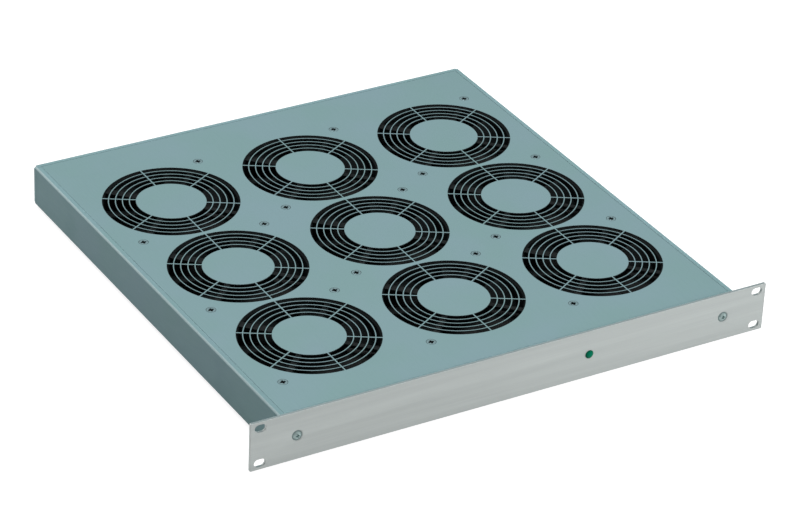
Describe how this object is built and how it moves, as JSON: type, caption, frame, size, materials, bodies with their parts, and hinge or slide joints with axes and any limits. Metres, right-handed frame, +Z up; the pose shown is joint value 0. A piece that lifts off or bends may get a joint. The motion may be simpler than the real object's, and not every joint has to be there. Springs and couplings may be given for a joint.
{
  "type": "rack fan drawer",
  "caption": "Flat rack unit that blows air upward through ring grilles over a grid of square fans, with a slotted aluminium front panel and a green power indicator.",
  "frame": {"origin": "middle of the rack slot pattern on the front panel's back face, which lies against the rack rails", "axes": "+X along the panel to the right seen from the front, +Y back into the rack, +Z up"},
  "size_m": [0.4826, 0.4661, 0.0436],
  "materials": {
    "zinc_sheet": "zinc-passivated sheet, satin",
    "anodised_aluminium": "natural anodised, fine brushed",
    "bright_steel": "bright zinc plating",
    "spring_steel": "plain spring steel",
    "shaft_steel": "ground steel",
    "lamination_steel": "varnished laminations",
    "green_lens": "clear green lens",
    "clear_lamp": "clear epoxy",
    "black_plastic": "moulded, matt black",
    "impeller_plastic": "moulded, satin black",
    "bronze": "sintered bronze",
    "inlet_plastic": "moulded, matt black",
    "plated_brass": "nickel-plated brass",
    "wire_sleeve": "soft black sleeve",
    "lead_insulation": "black insulation",
    "clip_nylon": "natural nylon"
  },
  "bodies": {
    "chassis": {"chassis_frame": "zinc_sheet", "top_plate": "zinc_sheet", "front_panel": "anodised_aluminium", "panel_screws": "bright_steel", "panel_nuts": "bright_steel", "indicator_lens": "green_lens", "indicator_lamp": "clear_lamp", "indicator_clip": "spring_steel", "fan_frames": "black_plastic", "fan_bushes": "bronze", "fan_stators": "lamination_steel", "fan_screws": "bright_steel", "inlet_body": "inlet_plastic", "inlet_pins": "plated_brass", "inlet_screws": "bright_steel", "inlet_nuts": "bright_steel", "earth_stud": "bright_steel", "earth_nut": "bright_steel", "left_loom": "wire_sleeve", "right_loom": "wire_sleeve", "fan_leads": "lead_insulation", "loom_clips": "clip_nylon"},
    "fan_1": {"impeller_1": "impeller_plastic", "impeller_shaft_1": "shaft_steel"},
    "fan_2": {"impeller_2": "impeller_plastic", "impeller_shaft_2": "shaft_steel"},
    "fan_3": {"impeller_3": "impeller_plastic", "impeller_shaft_3": "shaft_steel"},
    "fan_4": {"impeller_4": "impeller_plastic", "impeller_shaft_4": "shaft_steel"},
    "fan_5": {"impeller_5": "impeller_plastic", "impeller_shaft_5": "shaft_steel"},
    "fan_6": {"impeller_6": "impeller_plastic", "impeller_shaft_6": "shaft_steel"},
    "fan_7": {"impeller_7": "impeller_plastic", "impeller_shaft_7": "shaft_steel"},
    "fan_8": {"impeller_8": "impeller_plastic", "impeller_shaft_8": "shaft_steel"},
    "fan_9": {"impeller_9": "impeller_plastic", "impeller_shaft_9": "shaft_steel"}
  },
  "joints": [
    {"name": "fan_1_spin", "type": "hinge", "parent": "chassis", "child": "fan_1", "pos_m": [-0.135, 0.0975, 0.0043], "axis": [0, 0, 1], "continuous": true},
    {"name": "fan_2_spin", "type": "hinge", "parent": "chassis", "child": "fan_2", "pos_m": [0, 0.0975, 0.0043], "axis": [0, 0, 1], "continuous": true},
    {"name": "fan_3_spin", "type": "hinge", "parent": "chassis", "child": "fan_3", "pos_m": [0.135, 0.0975, 0.0043], "axis": [0, 0, 1], "continuous": true},
    {"name": "fan_4_spin", "type": "hinge", "parent": "chassis", "child": "fan_4", "pos_m": [-0.135, 0.2195, 0.0043], "axis": [0, 0, 1], "continuous": true},
    {"name": "fan_5_spin", "type": "hinge", "parent": "chassis", "child": "fan_5", "pos_m": [0, 0.2195, 0.0043], "axis": [0, 0, 1], "continuous": true},
    {"name": "fan_6_spin", "type": "hinge", "parent": "chassis", "child": "fan_6", "pos_m": [0.135, 0.2195, 0.0043], "axis": [0, 0, 1], "continuous": true},
    {"name": "fan_7_spin", "type": "hinge", "parent": "chassis", "child": "fan_7", "pos_m": [-0.135, 0.3415, 0.0043], "axis": [0, 0, 1], "continuous": true},
    {"name": "fan_8_spin", "type": "hinge", "parent": "chassis", "child": "fan_8", "pos_m": [0, 0.3415, 0.0043], "axis": [0, 0, 1], "continuous": true},
    {"name": "fan_9_spin", "type": "hinge", "parent": "chassis", "child": "fan_9", "pos_m": [0.135, 0.3415, 0.0043], "axis": [0, 0, 1], "continuous": true}
  ]
}
